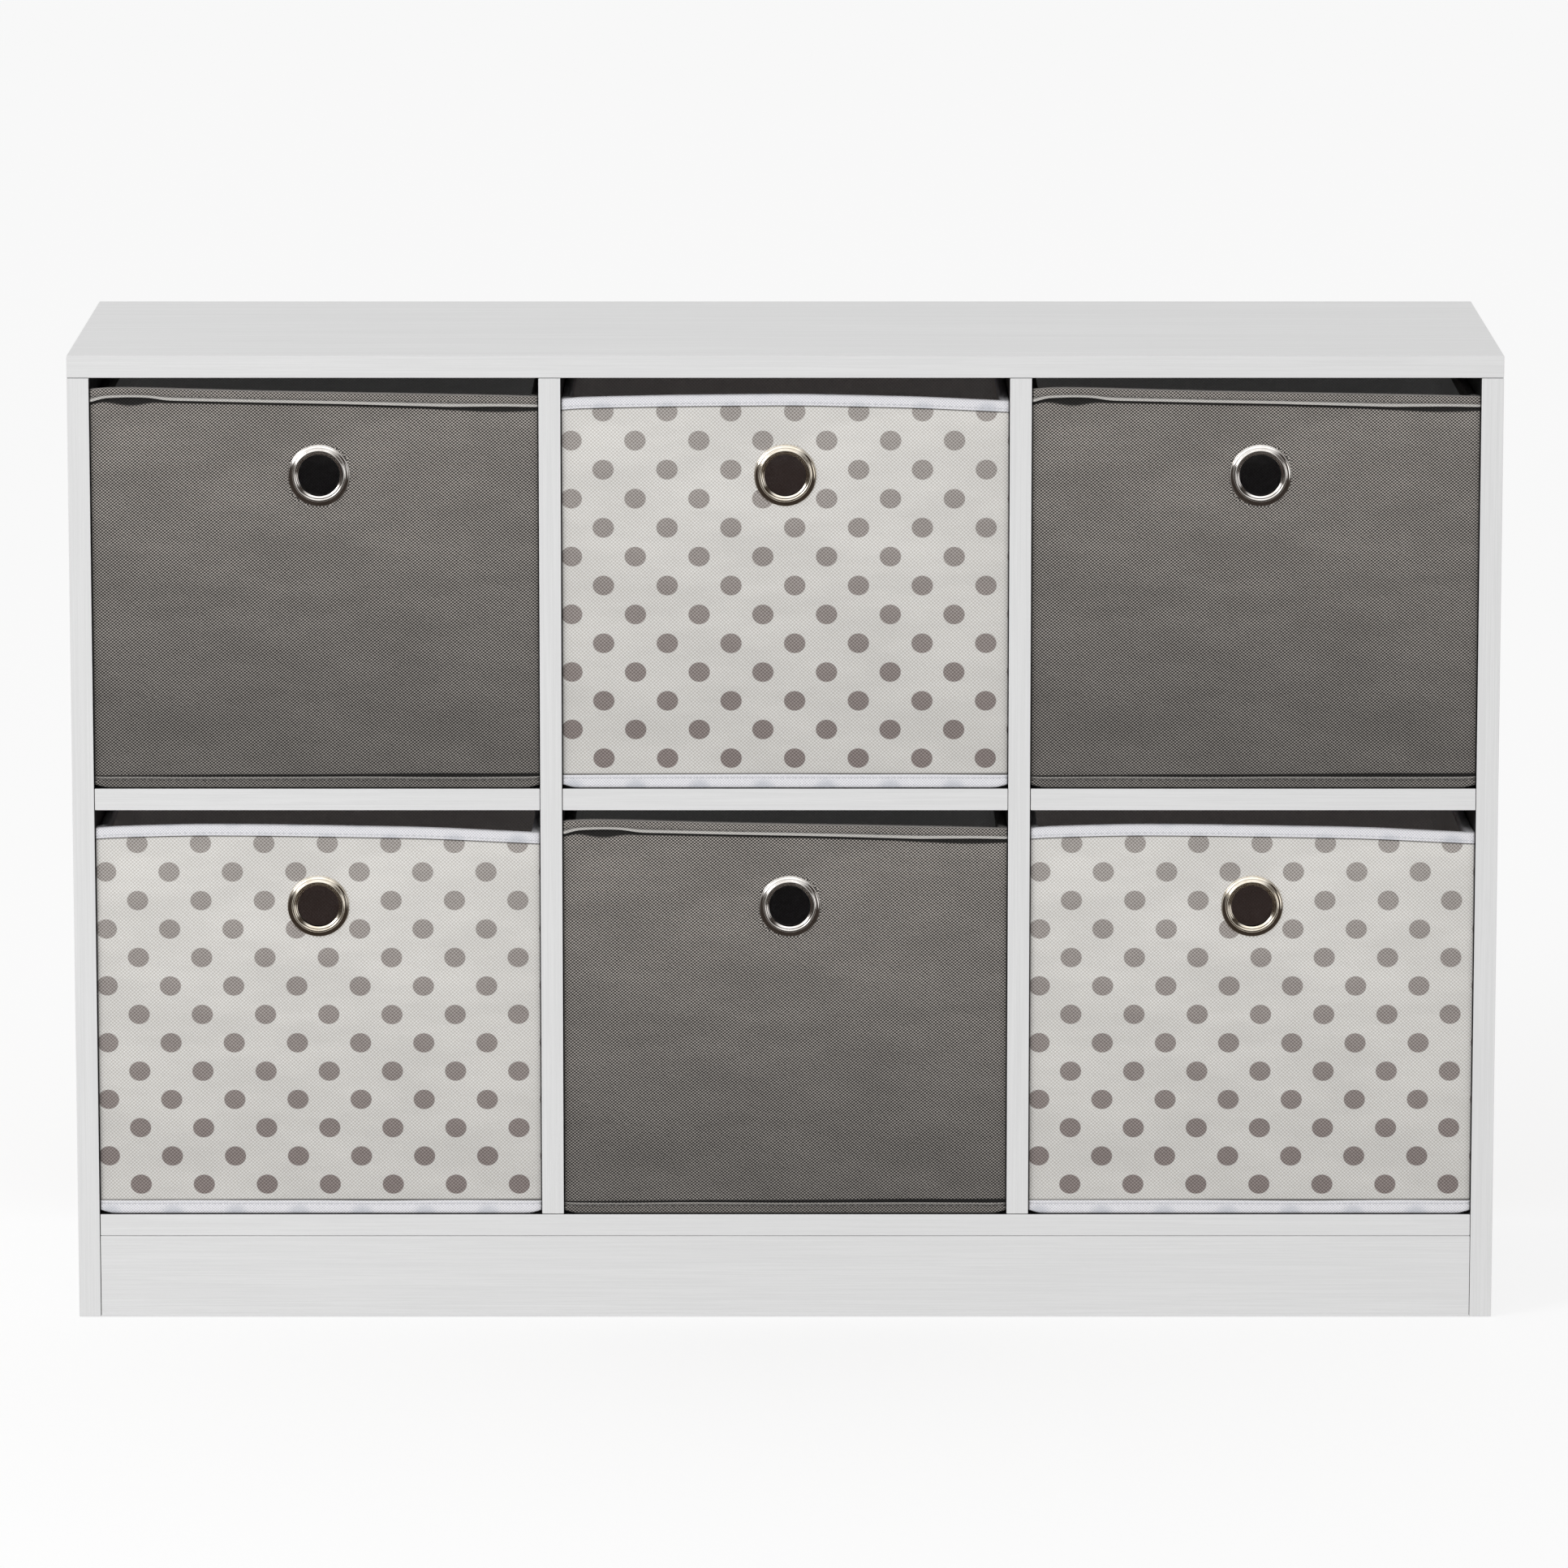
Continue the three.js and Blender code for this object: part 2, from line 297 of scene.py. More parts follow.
GREY_RAISED = (0.50, 0.465, 0.43)
GREY_PIT = (0.010, 0.008, 0.007)
# bright tone of the painted highlight on the grey folds' edges
GREY_PAINTED_HIGHLIGHT = (0.88, 0.86, 0.83)
GREY_PERIOD = (2.42, 2.03)  # of the emboss, along u and z
CREAM = (0.788, 0.777, 0.754)
CREAM_PIT = (0.54, 0.515, 0.48)
CREAM_PERIOD = (2.5, 2.38)
DOT_INK = (0.489, 0.461, 0.437)
DOT_INK_PIT = (0.21, 0.185, 0.17)
DOT_PITCH = (43.2, 39.6)
DOT_FIRST = (6.4, 20.4)
DOT_RADIUS = 7.25
DOT_SQUASH = 1.075  # the print is this much wider than tall
# Painted shade: each cloth, the lining and the dots' ink darker towards the foot, as light falls from above
GREY_FOOT_SHADE = 0.63  # share of the tone left at the foot
CREAM_FOOT_SHADE = 0.865
LINING_FOOT_SHADE = 0.95
DOT_FOOT_SHADE = (0.69, 0.63, 0.635)
# Painted shade in the creases beside the folds: the share of the tone left where it is deepest
CREASE_SHADE = 0.06
PAINTED_HIGHLIGHT_SHARE = 0.42  # of the bright tone painted on a fold's edge as a highlight
GREY_LINING = (0.62, 0.61, 0.61)
GREY_LINING_PIT = (0.50, 0.49, 0.49)
DOTTED_LINING = (0.84, 0.79, 0.76)
DOTTED_LINING_PIT = (0.72, 0.67, 0.64)
GREY_GLOW = ((0.0012, 0.0009, 0.0011), (0.0175, 0.0175, 0.0173))  # low down, and at the rim
DOTTED_GLOW = ((0.0088, 0.0058, 0.0053), (0.0128, 0.0134, 0.0138))
GLOW_CHANGE = (0.66, 0.78)  # shares of the rim's height between which one glow gives way to the other
TAPE = (0.89, 0.89, 0.91)
TAPE_PIT = (0.56, 0.545, 0.60)
TAPE_PERIOD = (2.1, 2.0)
SHOW_THROUGH = (0.50, 0.52, 0.57)
SHOW_THROUGH_SHARE = 0.6
GREYBOARD = (0.30, 0.275, 0.24)
GREYBOARD_FLECK = (0.18, 0.165, 0.145)


def emboss(shader, place, period):
    """The diamond point-bond pattern of non-woven cloth: 1 on a raised spot, 0 in a pit."""
    wander = shader.noise(place, 0.5, 2, 0.6)
    wander = shader.step(wander, 0.2, 0.8, -0.35, 0.35)
    waves = []
    for axis, length in enumerate(period):
        angle = shader.math("MULTIPLY_ADD", shader.part(place, axis), 2 * math.pi / length, wander)
        waves.append(shader.math("COSINE", angle))
    product = shader.math("MULTIPLY", *waves)
    return shader.math("MULTIPLY_ADD", product, 0.5, 0.5)


def dots(shader, place, soft):
    """1 inside the printed dots. They lie on two rectangular grids, the second half a pitch over and up."""
    masks = []
    for half in (0.0, 0.5):
        first = [start + half * pitch for start, pitch in zip(DOT_FIRST, DOT_PITCH)]
        moved = shader.vector("SUBTRACT", place, (*first, 0))
        cells = shader.vector("DIVIDE", moved, (*DOT_PITCH, 1))
        whole = shader.vector("FLOOR", shader.vector("ADD", cells, (0.5, 0.5, 0.5)))
        scale = (DOT_PITCH[0], DOT_PITCH[1] * DOT_SQUASH, 0)
        inside = shader.vector("MULTIPLY", shader.vector("SUBTRACT", cells, whole), scale)
        reach = shader.vector("LENGTH", inside, output="Value")
        masks.append(shader.step(reach, DOT_RADIUS - soft, DOT_RADIUS + soft, 1.0, 0.0))
    return shader.math("MAXIMUM", *masks)


def painted_height_shade(shader, place, low):
    """Painted shade: a share that falls from 1 at the rim to low at the foot, as light falls from above."""
    return shader.step(shader.part(place, 1), 0, RIM, low, 1.0)


def grey_of(shader, value):
    """A value as a neutral colour."""
    return shader.node("CombineColor", {0: value, 1: value, 2: value})


def paint_highlight_and_shade(shader, tone, bright):
    """Painted highlight and shade: a tone lightened to bright on a fold's edge, where the point's value is -1,
    and darkened towards 1, in creases.
    """
    painted_light = shader.node("Attribute", {}, "Fac", attribute_name="painted_light")
    tone = shader.mix(shader.step(painted_light, -1.0, 0.0, PAINTED_HIGHLIGHT_SHARE, 0.0), tone, bright)
    shade = grey_of(shader, shader.step(painted_light, 0, 1, 1.0, CREASE_SHADE))
    return shader.mix(1.0, tone, shade, "MULTIPLY")


def cloth(
    name, period, raised, pit, foot_shade, printed=None, depth=0.16, pits=0.0, clouding=0.05, glow=None,
):
    """Non-woven cloth with its emboss, fibres, clouding and, if printed is given, dots in two tones of ink.

    pits widens the dark pits of the emboss. glow gives two colours, low down and at the rim, that stand in
    for the light that bounces about in a closed cell."""
    shader = Shader(name, Sheen_Weight=0.12, Sheen_Roughness=0.6, Specular_IOR_Level=0.2)
    place = shader.cloth_place()
    relief = emboss(shader, place, period)
    fibres = shader.noise(place, (1.3, 2.1, 1.0), 3, 0.7)
    clouds = shader.noise(place, (0.012, 0.034, 1.0), 3, 0.6)
    # the emboss's pits take the darker pit tone: painted shade in the recesses
    raise_share = shader.step(relief, 0.16 + pits, 0.84 + 0.7 * pits)
    tone = shader.mix(raise_share, pit, raised)
    if printed is not None:
        ink = shader.mix(raise_share, printed[1], printed[0])
        # Painted shade on the ink: darker and more mauve towards the foot
        ink_shade = shader.mix(painted_height_shade(shader, place, 0.0), DOT_FOOT_SHADE, (1.0, 1.0, 1.0))
        ink = shader.mix(1.0, ink, ink_shade, "MULTIPLY")
        tone = shader.mix(dots(shader, place, 0.35), tone, ink)
    # Painted shade, darker towards the foot, times random clouding and fibres
    shade = painted_height_shade(shader, place, foot_shade)
    shade = shader.math("MULTIPLY", shade, shader.step(clouds, 0.3, 0.7, 1 - clouding, 1 + clouding))
    shade = shader.math("MULTIPLY", shade, shader.step(fibres, 0.25, 0.75, 0.86, 1.12))
    tone = shader.mix(1.0, tone, grey_of(shader, shade), "MULTIPLY")
    tone = paint_highlight_and_shade(shader, tone, GREY_PAINTED_HIGHLIGHT)
    lumps = shader.bump(fibres, depth * 0.5)
    normal = shader.bump(relief, depth, lumps)
    if glow:
        near_rim = shader.step(shader.part(place, 1), *(RIM * share for share in GLOW_CHANGE))
        shader.out(Emission_Color=shader.mix(near_rim, *glow), Emission_Strength=1.0)
    return shader.out(Base_Color=tone, Roughness=shader.step(fibres, 0.2, 0.8, 0.82, 0.97), Normal=normal)


def tape():
    """White non-woven binding, thin enough for the dots under it to show through faintly."""
    shader = Shader("white_tape", Sheen_Weight=0.15, Sheen_Roughness=0.5, Specular_IOR_Level=0.25)
    place = shader.cloth_place()
    relief = emboss(shader, place, TAPE_PERIOD)
    fibres = shader.noise(place, (1.6, 2.4, 1.0), 3, 0.7)
    # the emboss's pits take the darker pit tone: painted shade in the recesses
    tone = shader.mix(shader.step(relief, 0.05, 0.75), TAPE_PIT, TAPE)
    under = shader.math("MULTIPLY", dots(shader, place, 3.5), SHOW_THROUGH_SHARE)
    tone = shader.mix(under, tone, SHOW_THROUGH)
    tone = paint_highlight_and_shade(shader, tone, TAPE)
    normal = shader.bump(relief, 0.26, shader.bump(fibres, 0.12))
    return shader.out(Base_Color=tone, Roughness=shader.step(fibres, 0.2, 0.8, 0.7, 0.9), Normal=normal)


def thread(name, colour):
    """Spun sewing thread: the ply twist shows as fine slanted ridges."""
    shader = Shader(name, Roughness=0.7, Sheen_Weight=0.2)
    place = shader.place()
    inputs = {"Vector": place, "Scale": 0.9, "Distortion": 1.5}
    ply = shader.node("TexWave", inputs, 1, bands_direction="DIAGONAL")
    dull = tuple(0.7 * part for part in colour)
    return shader.out(Base_Color=shader.mix(ply, dull, colour), Normal=shader.bump(ply, 0.1))


def greyboard():
    """Uncoated recycled card with fibre flecks."""
    shader = Shader("greyboard", Roughness=0.9)
    place = shader.place()
    flecks = shader.noise(place, 0.8, 4, 0.75)
    tone = shader.mix(shader.step(flecks, 0.35, 0.68), GREYBOARD_FLECK, GREYBOARD)
    return shader.out(Base_Color=tone, Normal=shader.bump(flecks, 0.08))


def nickel(name, bright, dull):
    """Bright plating with cloudy dull patches and fine handling scratches."""
    shader = Shader(name, Metallic=1.0)
    place = shader.place()
    patches = shader.noise(place, 0.12, 3, 0.6)
    tone = shader.mix(shader.step(patches, 0.35, 0.7), bright, dull)
    scratches = shader.noise(place, (0.9, 0.9, 4.0), 4, 0.75)
    rough = shader.step(scratches, 0.35, 0.75, 0.05, 0.16)
    return shader.out(Base_Color=tone, Roughness=rough, Normal=shader.bump(scratches, 0.006))


# ---- cloth shape ---------------------------------------------------------------------------------

def outline(u, out=0.0):
    """Points on a bin's outline at distances u from the middle of the front, moved out by out.

    However far in they move, the corners keep a small radius."""
    s = np.abs(u)
    side = np.where(u < 0, -1.0, 1.0)
    quarter = math.pi / 2
    turn_front = np.clip((s - FRONT_LENGTH) / CORNER, 0, quarter)
    turn_back = np.clip((s - FRONT_LENGTH - ARC_LENGTH - SIDE_LENGTH) / CORNER, 0, quarter)
    along_front = np.minimum(s, FRONT_LENGTH)
    along_side = np.clip(s - FRONT_LENGTH - ARC_LENGTH, 0, SIDE_LENGTH)
    along_back = np.maximum(s - FRONT_LENGTH - 2 * ARC_LENGTH - SIDE_LENGTH, 0)
    radius = np.maximum(CORNER + out, TIGHTEST_CORNER)
    front_scale = (HALF_WIDTH + out - radius) / FRONT_LENGTH
    side_scale = (HALF_DEPTH + out - radius) / (SIDE_LENGTH / 2)
    x = front_scale * (along_front - along_back) + radius * (np.sin(turn_front) - 1 + np.cos(turn_back))
    y = side_scale * along_side - HALF_DEPTH - out + radius * (1 - np.cos(turn_front) + np.sin(turn_back))
    return side * x, y


def side_share(u):
    """0 on the front and back of the bin and 1 on its sides."""
    return np.abs(outline(u, 1.0)[0] - outline(u, 0.0)[0])


def fitted(u, out):
    """out at u, pressed flat by the cell at the sides, where the lining's side of the wall stays in place."""
    side = side_share(u)
    if np.ndim(out) == 0:
        out = np.full(len(u), out)
    pressed = out * (1 - (1 - SIDE_PRESS) * side)
    kept = np.where(out < INSIDE, out - FULLNESS * side, out)
    return np.where(out > 0, pressed, kept)


def round_columns():
    """Values of u for one trip round the bin, symmetric about the front's middle."""
    corners = [FRONT_LENGTH, FRONT_LENGTH + ARC_LENGTH]
    corners += [corners[1] + SIDE_LENGTH, corners[1] + SIDE_LENGTH + ARC_LENGTH]
    stops = [0, *corners, GIRTH / 2]
    arc_step = ARC_LENGTH / CORNER_STEPS
    steps = (FRONT_STEP, arc_step, SIDE_STEP, arc_step, SIDE_STEP)
    half = [0.0]
    for start, end, step in zip(stops, stops[1:], steps):
        half.extend(np.linspace(start, end, max(2, round((end - start) / step) + 1))[1:])
    half = np.array(half)
    return np.concatenate([-half[-2:0:-1], half])


def through(points, across, soft):
    """Straight lines through the points, rounded over a distance soft each side of a point."""
    samples = 9
    places, values = zip(*points)
    spread = np.linspace(-soft, soft, samples)
    return np.mean([np.interp(across + shift, places, values) for shift in spread], axis=0)


def rim_height(u, rim):
    """Height of the rim at u: through the given points on the front, and lower and level elsewhere."""
    across = np.clip(u / HALF_WIDTH, -1, 1)
    front = through(rim, across, RIM_SOFT)
    near_end = np.clip((np.abs(u / HALF_WIDTH) - RIM_END) / (1 - RIM_END), 0, 1)
    front += near_end * (through(rim, across, RIM_END_SOFT) - front)
    fade = np.clip((np.abs(u) - HALF_WIDTH) / SIDE_RIM_REACH, 0, 1)
    return RIM + front + (SIDE_RIM - front) * fade * fade * (3 - 2 * fade)


def ripple(u, z, seed, size):
    """Smooth seeded noise over the cloth, longer across than up, between about -1 and 1."""
    squash = 2.2
    seed_gap = 7.3
    places = (Vector((a / size, b / size * squash, seed * seed_gap)) for a, b in zip(u, z))
    return np.array([noise.noise(place) for place in places])


def skin_bulge(u, z, bin_facts, eyelet_x, eyelet_z):
    """How far the skin is off its card: a slack crown, waves, two wrinkles, a dimple round the eyelet."""
    up = np.clip(z / RIM, 0, 1)
    on_front = np.clip((HALF_WIDTH - np.abs(u)) / FRONT_REACH, 0, 1)
    crown = np.sin(math.pi * up) ** 0.6 * (SIDE_SLACK + (1 - SIDE_SLACK) * on_front)
    seed = bin_facts["seed"]
    waves = sum(height * ripple(u, z, seed + step, size) for height, size, step in SKIN_WAVES)
    depth = WRINKLE_DEPTH[bin_facts["cloth"]]
    above = z - eyelet_z - WRINKLE_WANDER * np.sin(u / 55 + seed)
    wrinkles = depth * np.exp(-((above / WRINKLE_WIDTH) ** 2)) * np.cos(u / 40 + 2 * seed)
    share, drop, width = SECOND_WRINKLE
    wrinkles += share * depth * np.exp(-(((above + drop) / width) ** 2)) * np.sin(u / 52 + seed)
    slack = np.clip(crown * (SLACK + waves + wrinkles), 0.0, MOST_SLACK)
    reach = np.hypot(u - eyelet_x, z - eyelet_z)
    near = np.clip((reach - EYELET_FLANGE + DIMPLE_START) / DIMPLE_REACH, 0, 1)
    return slack * near * near * (3 - 2 * near)


# ---- meshes --------------------------------------------------------------------------------------

def make_piece(name, points, faces, uvs, material, origin):
    """A smooth-shaded mesh object. Points are millimetres from origin; uvs are pairs for face corners."""
    mesh = bpy.data.meshes.new(name)
    metres = np.asarray(points) * MM + np.array(origin)
    mesh.from_pydata(metres.tolist(), [], np.asarray(faces, object).tolist())
    if uvs is not None:
        layer = mesh.uv_layers.new(name="cloth")
        layer.data.foreach_set("uv", (np.asarray(uvs) * MM).ravel())
    mesh.polygons.foreach_set("use_smooth", [True] * len(mesh.polygons))
    mesh.materials.append(material)
    made = bpy.data.objects.new(name, mesh)
    bpy.context.scene.collection.objects.link(made)
    return made


def ring_faces(rows, columns, close_rows):
    """Quads over a grid of rows by columns whose columns close into a ring."""
    last = rows if close_rows else rows - 1
    r, c = np.meshgrid(np.arange(last), np.arange(columns), indexing="ij")
    r, c = r.ravel(), c.ravel()
    r_next, c_next = (r + 1) % rows, (c + 1) % columns
    row, row_next = r * columns, r_next * columns
    return np.stack([row + c, row + c_next, row_next + c_next, row_next + c], 1)


def ring_uvs(u, v, girth, close_rows):
    """The uv pairs that go with ring_faces, for v in rows by columns. close_rows is 0 for an open grid, or
    how far v runs on from the last row to where the section closes."""
    u_grid = np.broadcast_to(np.append(u, u[0] + girth), (v.shape[0], len(u) + 1))
    v_grid = np.concatenate([v, v[:, :1]], 1)
    if close_rows:
        u_grid = np.concatenate([u_grid, u_grid[:1]])
        v_grid = np.concatenate([v_grid, v_grid[-1:] + close_rows])
    corners = [(slice(0, -1), slice(0, -1)), (slice(0, -1), slice(1, None))]
    corners += [(slice(1, None), slice(1, None)), (slice(1, None), slice(0, -1))]
    return np.stack([np.stack([u_grid[at], v_grid[at]], -1) for at in corners], 2).reshape(-1, 2)


def ring_points(u, out, z):
    """Points for rows of cloth: out and z are rows by columns."""
    xs, ys = zip(*(outline(u, row) for row in out))
    return np.stack([np.array(xs), np.array(ys), z], -1).reshape(-1, 3)


def store_painted_light(piece, values):
    """Stores each point's painted highlight (-1, on a fold's edge) and painted shade (up to 1, in creases),
    for the cloth shaders.
    """
    shade = piece.data.attributes.new("painted_light", "FLOAT", "POINT")
    shade.data.foreach_set("value", np.asarray(values, np.float32))


def sweep(name, u, section, run, material, origin):
    """A closed band round the bin. run(out, height) says how a point of its section runs along u."""
    runs = [run(out, height) for out, height, _ in section]
    out = np.array([fitted(u, out) for out, _ in runs])
    z = np.array([height for _, height in runs])
    points = ring_points(u, out, z)
    length = np.cumsum(np.hypot(np.diff(out, axis=0), np.diff(z, axis=0)), axis=0)
    v = z[:1] + np.concatenate([np.zeros((1, len(u))), length])
    faces = ring_faces(len(out), len(u), True)
    made = make_piece(name, points, faces, ring_uvs(u, v, GIRTH, 1.0), material, origin)
    store_painted_light(made, np.repeat([tone for _, _, tone in section], len(u)))
    return made


def wall_sheet(name, u, z, out, material, origin, hole, painted_light):
    """A sheet of cloth round the bin with a round hole in its front and its thickness behind its faces."""
    points = ring_points(u, out, z)
    faces = ring_faces(len(z), len(u), False)
    uvs = ring_uvs(u, z, GIRTH, 0.0).reshape(-1, 4, 2)
    reach = np.hypot(points[:, 0] - hole[0], points[:, 2] - hole[1])
    reach[points[:, 1] > 0] = GIRTH
    kept = (reach[faces] > EYELET_CUT - CUT_MARGIN).all(1)
    edge = np.intersect1d(faces[kept], faces[~kept])
    spread = (points[edge][:, [0, 2]] - hole) / reach[edge][:, None]
    points[edge[:, None], [0, 2]] = np.array(hole) + spread * EYELET_CUT
    used, faces = np.unique(faces[kept], return_inverse=True)
    made = make_piece(name, points[used], faces.reshape(-1, 4), uvs[kept].reshape(-1, 2), material, origin)
    store_painted_light(made, painted_light.ravel()[used])
    thickness = made.modifiers.new("thickness", "SOLIDIFY")
    thickness.thickness = CLOTH * MM
    return made


def rounded_ring(half_x, half_y, radius):
    """Points round a rounded rectangle."""
    turns = np.linspace(0, math.pi / 2, 5)
    corners = [(1, 1), (-1, 1), (-1, -1), (1, -1)]
    points = []
    for quarter, (sign_x, sign_y) in enumerate(corners):
        for turn in turns + quarter * math.pi / 2:
            x = sign_x * (half_x - radius) + radius * math.cos(turn)
            y = sign_y * (half_y - radius) + radius * math.sin(turn)
            points.append((x, y))
    return points


def slab(name, half_x, half_y, radius, rows, material, origin):
    """A flat closed piece made of rings, each set in from the outline and at its own height."""
    points = []
    for inset, z in rows:
        ring = rounded_ring(half_x - inset, half_y - inset, max(radius - inset, 1))
        points += [(x, y, z) for x, y in ring]
    columns = len(ring)
    faces = ring_faces(len(rows), columns, False).tolist()
    faces.append(list(range(columns))[::-1])
    faces.append(list(range(len(points) - columns, len(points))))
    uvs = [points[corner][:2] for face in faces for corner in face]
    return make_piece(name, points, faces, uvs, material, origin)


def turned(section, steps, x, y, z, side):
    """A section of (radius, height) turned about an axis along y. side is -1 if it faces forward, else 1."""
    points = []
    for radius, height in section:
        for turn in np.linspace(0, -side * 2 * math.pi, steps, endpoint=False):
            points.append((x + radius * math.cos(turn), y + side * height, z + radius * math.sin(turn)))
    return points


def stitches(name, centres, along, outward, length, radius, material, origin):
    """Short rounded threads lying on a seam, one at each centre."""
    rings = ((-0.5, 0.35), (-0.32, 1.0), (0.32, 1.0), (0.5, 0.35))  # shares of the length and of the radius
    sides = 6
    stitch = []
    for share, swell in rings:
        for k in range(sides):
            turn = 2 * math.pi * k / sides
            stitch.append((share * length, swell * radius * math.cos(turn), swell * radius * math.sin(turn)))
    stitch = np.array(stitch)
    across = np.cross(outward, along)
    axes = np.stack([along, across, outward], 1)
    points = (centres[:, None] + np.einsum("pk,nkc->npc", stitch, axes)).reshape(-1, 3)
    one = ring_faces(len(rings), sides, False).tolist()
    one += [list(range(sides))[::-1], list(range(3 * sides, 4 * sides))]
    faces = [[corner + i * len(stitch) for corner in face] for i in range(len(centres)) for face in one]
    return make_piece(name, points, faces, None, material, origin)


# ---- bins ----------------------------------------------------------------------------------------

# Sections of the folded rim and foot, each a closed loop from its lower outer edge round to its inner side.
# Points are (out of the skin, height, tone), with rim heights counted from the rim. A tone of -1 is a painted
# highlight on a fold's edge, and 1 is painted shade in the creases beside it.
GREY_RIM_SECTION = (
    (0.4, -6.6, 1), (0.9, -7.9, 1), (1.5, -8.3, 0.5), (2.0, -8.0, -1), (2.2, -7.2, -1),
    (1.8, -6.4, -0.9), (1.15, -5.9, 0.25), (1.2, -5.3, 0.3), (1.35, -3.6, 0.12), (1.35, -2.0, 0.1),
    (1.1, -0.9, 0), (0.5, -0.25, -0.5), (-0.6, 0.0, -0.2), (-3.6, 0.0, 0), (-4.9, -0.5, 0),
    (-5.4, -1.6, 0), (-5.4, -7.6, 0), (-5.0, -8.1, 0), (-4.5, -7.7, 0), (-4.5, -1.6, 0),
    (-3.7, -0.9, 0), (-0.5, -0.9, 0), (0.3, -1.5, 0),
)
TAPE_RIM_SECTION = (
    (0.25, -7.2, 0.5), (0.6, -7.5, 0.4), (0.9, -7.2, 0), (1.1, -6.3, 0), (1.0, -5.7, 0.12),
    (1.15, -5.1, 0), (1.2, -3.4, 0), (1.0, -1.3, -0.3), (0.5, -0.35, -0.6), (-0.6, 0.0, 0),
    (-3.6, 0.0, 0), (-4.7, -0.4, 0), (-5.2, -1.4, 0), (-5.2, -6.8, 0), (-4.8, -7.2, 0), (-4.5, -6.8, 0),
    (-4.5, -1.5, 0), (-3.7, -0.9, 0), (-0.5, -0.9, 0), (0.25, -1.5, 0),
)
GREY_FOOT_SECTION = (
    (-1.0, 0.0, 0.6), (0.6, 0.05, 0.5), (1.15, 0.6, 0.1), (1.4, 1.8, -0.1), (1.45, 3.7, 0),
    (1.25, 4.7, 0.1), (1.05, 5.4, 0.4), (1.0, 6.0, 0.4), (1.2, 6.6, -0.2), (1.25, 7.2, -0.6),
    (0.9, 7.7, 0), (0.2, 7.6, 1), (-0.3, 7.0, 1), (-0.3, 0.8, 0), (-1.0, 0.5, 0),
)
TAPE_FOOT_SECTION = (
    (-1.0, 0.0, 0.5), (0.5, 0.05, 0.3), (1.1, 0.8, 0), (1.3, 2.4, 0), (1.3, 4.6, 0), (1.1, 6.2, 0),
    (0.8, 7.0, 0.15), (1.2, 7.6, 0), (1.35, 8.4, -0.7), (1.0, 9.1, -0.5), (0.3, 9.1, 0.4),
    (-0.3, 8.4, 0.4), (-0.3, 0.9, 0), (-1.0, 0.6, 0),
)
RIM_DEPTH = {"grey": 8.3, "dotted": 7.5}
FOOT_DEPTH = {"grey": 7.7, "dotted": 9.2}
CORNER_LIFT = 2.2  # of the foot fold's lower edge at the corners
CORNER_LIFT_TOP = 8.3  # height at which nothing is left of it
CREASE_WIDTH = {"grey": 1.5, "dotted": 0.55}  # of the shade on the skin beside a fold
CREASE_STRENGTH = {"grey": 1.0, "dotted": 0.75}
RIM_SEAM = {"height": -5.55, "out": 1.15, "pitch": 4.2, "length": 2.9, "zigzag": 0.0}
GREY_FOOT_SEAM = {"height": 5.75, "out": 1.05, "pitch": 2.6, "length": 2.3, "zigzag": 0.7}
TAPE_FOOT_SEAM = {"height": 6.95, "out": 1.05, "pitch": 4.2, "length": 2.9, "zigzag": 0.0}
THREAD_RADIUS = 0.28
# Depth of the grey rim fold at points across the front: it is held short near the left corner
GREY_FOLD_DEPTH = (
    (-1, 9.4), (-0.95, 7.1), (-0.82, 6.5), (-0.73, 6.6), (-0.66, 8.2), (-0.3, 7.9), (0.1, 7.8),
    (0.6, 8.6), (0.85, 7.5), (1, 7.3),
)
GREY_LIFTS = ((-0.82, 0.1, 3.4), (0.83, 0.2, 1.7))  # place across, spread and opening of each lifted stretch; the opening widens the painted shade under the fold

# A thin flat edge, a domed flange, a valley, a round bead, a small ledge at the bore, the barrel, and a
# flatter flange on the lining. Points are (radius, height in front of the cover's front).
EYELET_SECTION = (
    (20.7, 0.0), (21.0, 0.2), (21.0, 0.5), (20.85, 0.68), (20.6, 0.74), (20.3, 0.76), (20.0, 0.85),
    (19.6, 1.15), (19.1, 1.42), (18.6, 1.52), (18.15, 1.6), (17.95, 1.85), (17.7, 2.25), (17.3, 2.5),
    (16.9, 2.58), (16.5, 2.5), (16.15, 2.25), (15.9, 1.9), (15.7, 1.5), (15.4, 1.15), (15.0, 0.9),
    (14.6, 0.8), (14.3, 0.6), (EYELET_BORE, 0.1), (EYELET_BORE, -2.6), (EYELET_BORE, -5.0),
    (14.4, -5.5), (15.4, -5.9), (16.8, -5.8), (17.8, -5.2), (18.0, -4.4), (17.2, -4.3), (14.9, -4.3),
    (14.9, -0.1),
)


def fold_depth(u, cloth_name):
    """How far the rim fold reaches below the rim at u."""
    if cloth_name == "dotted":
        return np.full(len(u), RIM_DEPTH["dotted"])
    return through(GREY_FOLD_DEPTH, np.clip(u / HALF_WIDTH, -1, 1), 0.03)


def open_fold_shade(u, cloth_name):
    """How much wider the painted shade under the rim fold is at u, where the fold stands open."""
    if cloth_name == "dotted":
        return np.zeros(len(u))
    across = np.where(np.abs(u) <= HALF_WIDTH, u / HALF_WIDTH, 9)
    return sum(opening * np.exp(-(((across - at) / spread) ** 2)) for at, spread, opening in GREY_LIFTS)


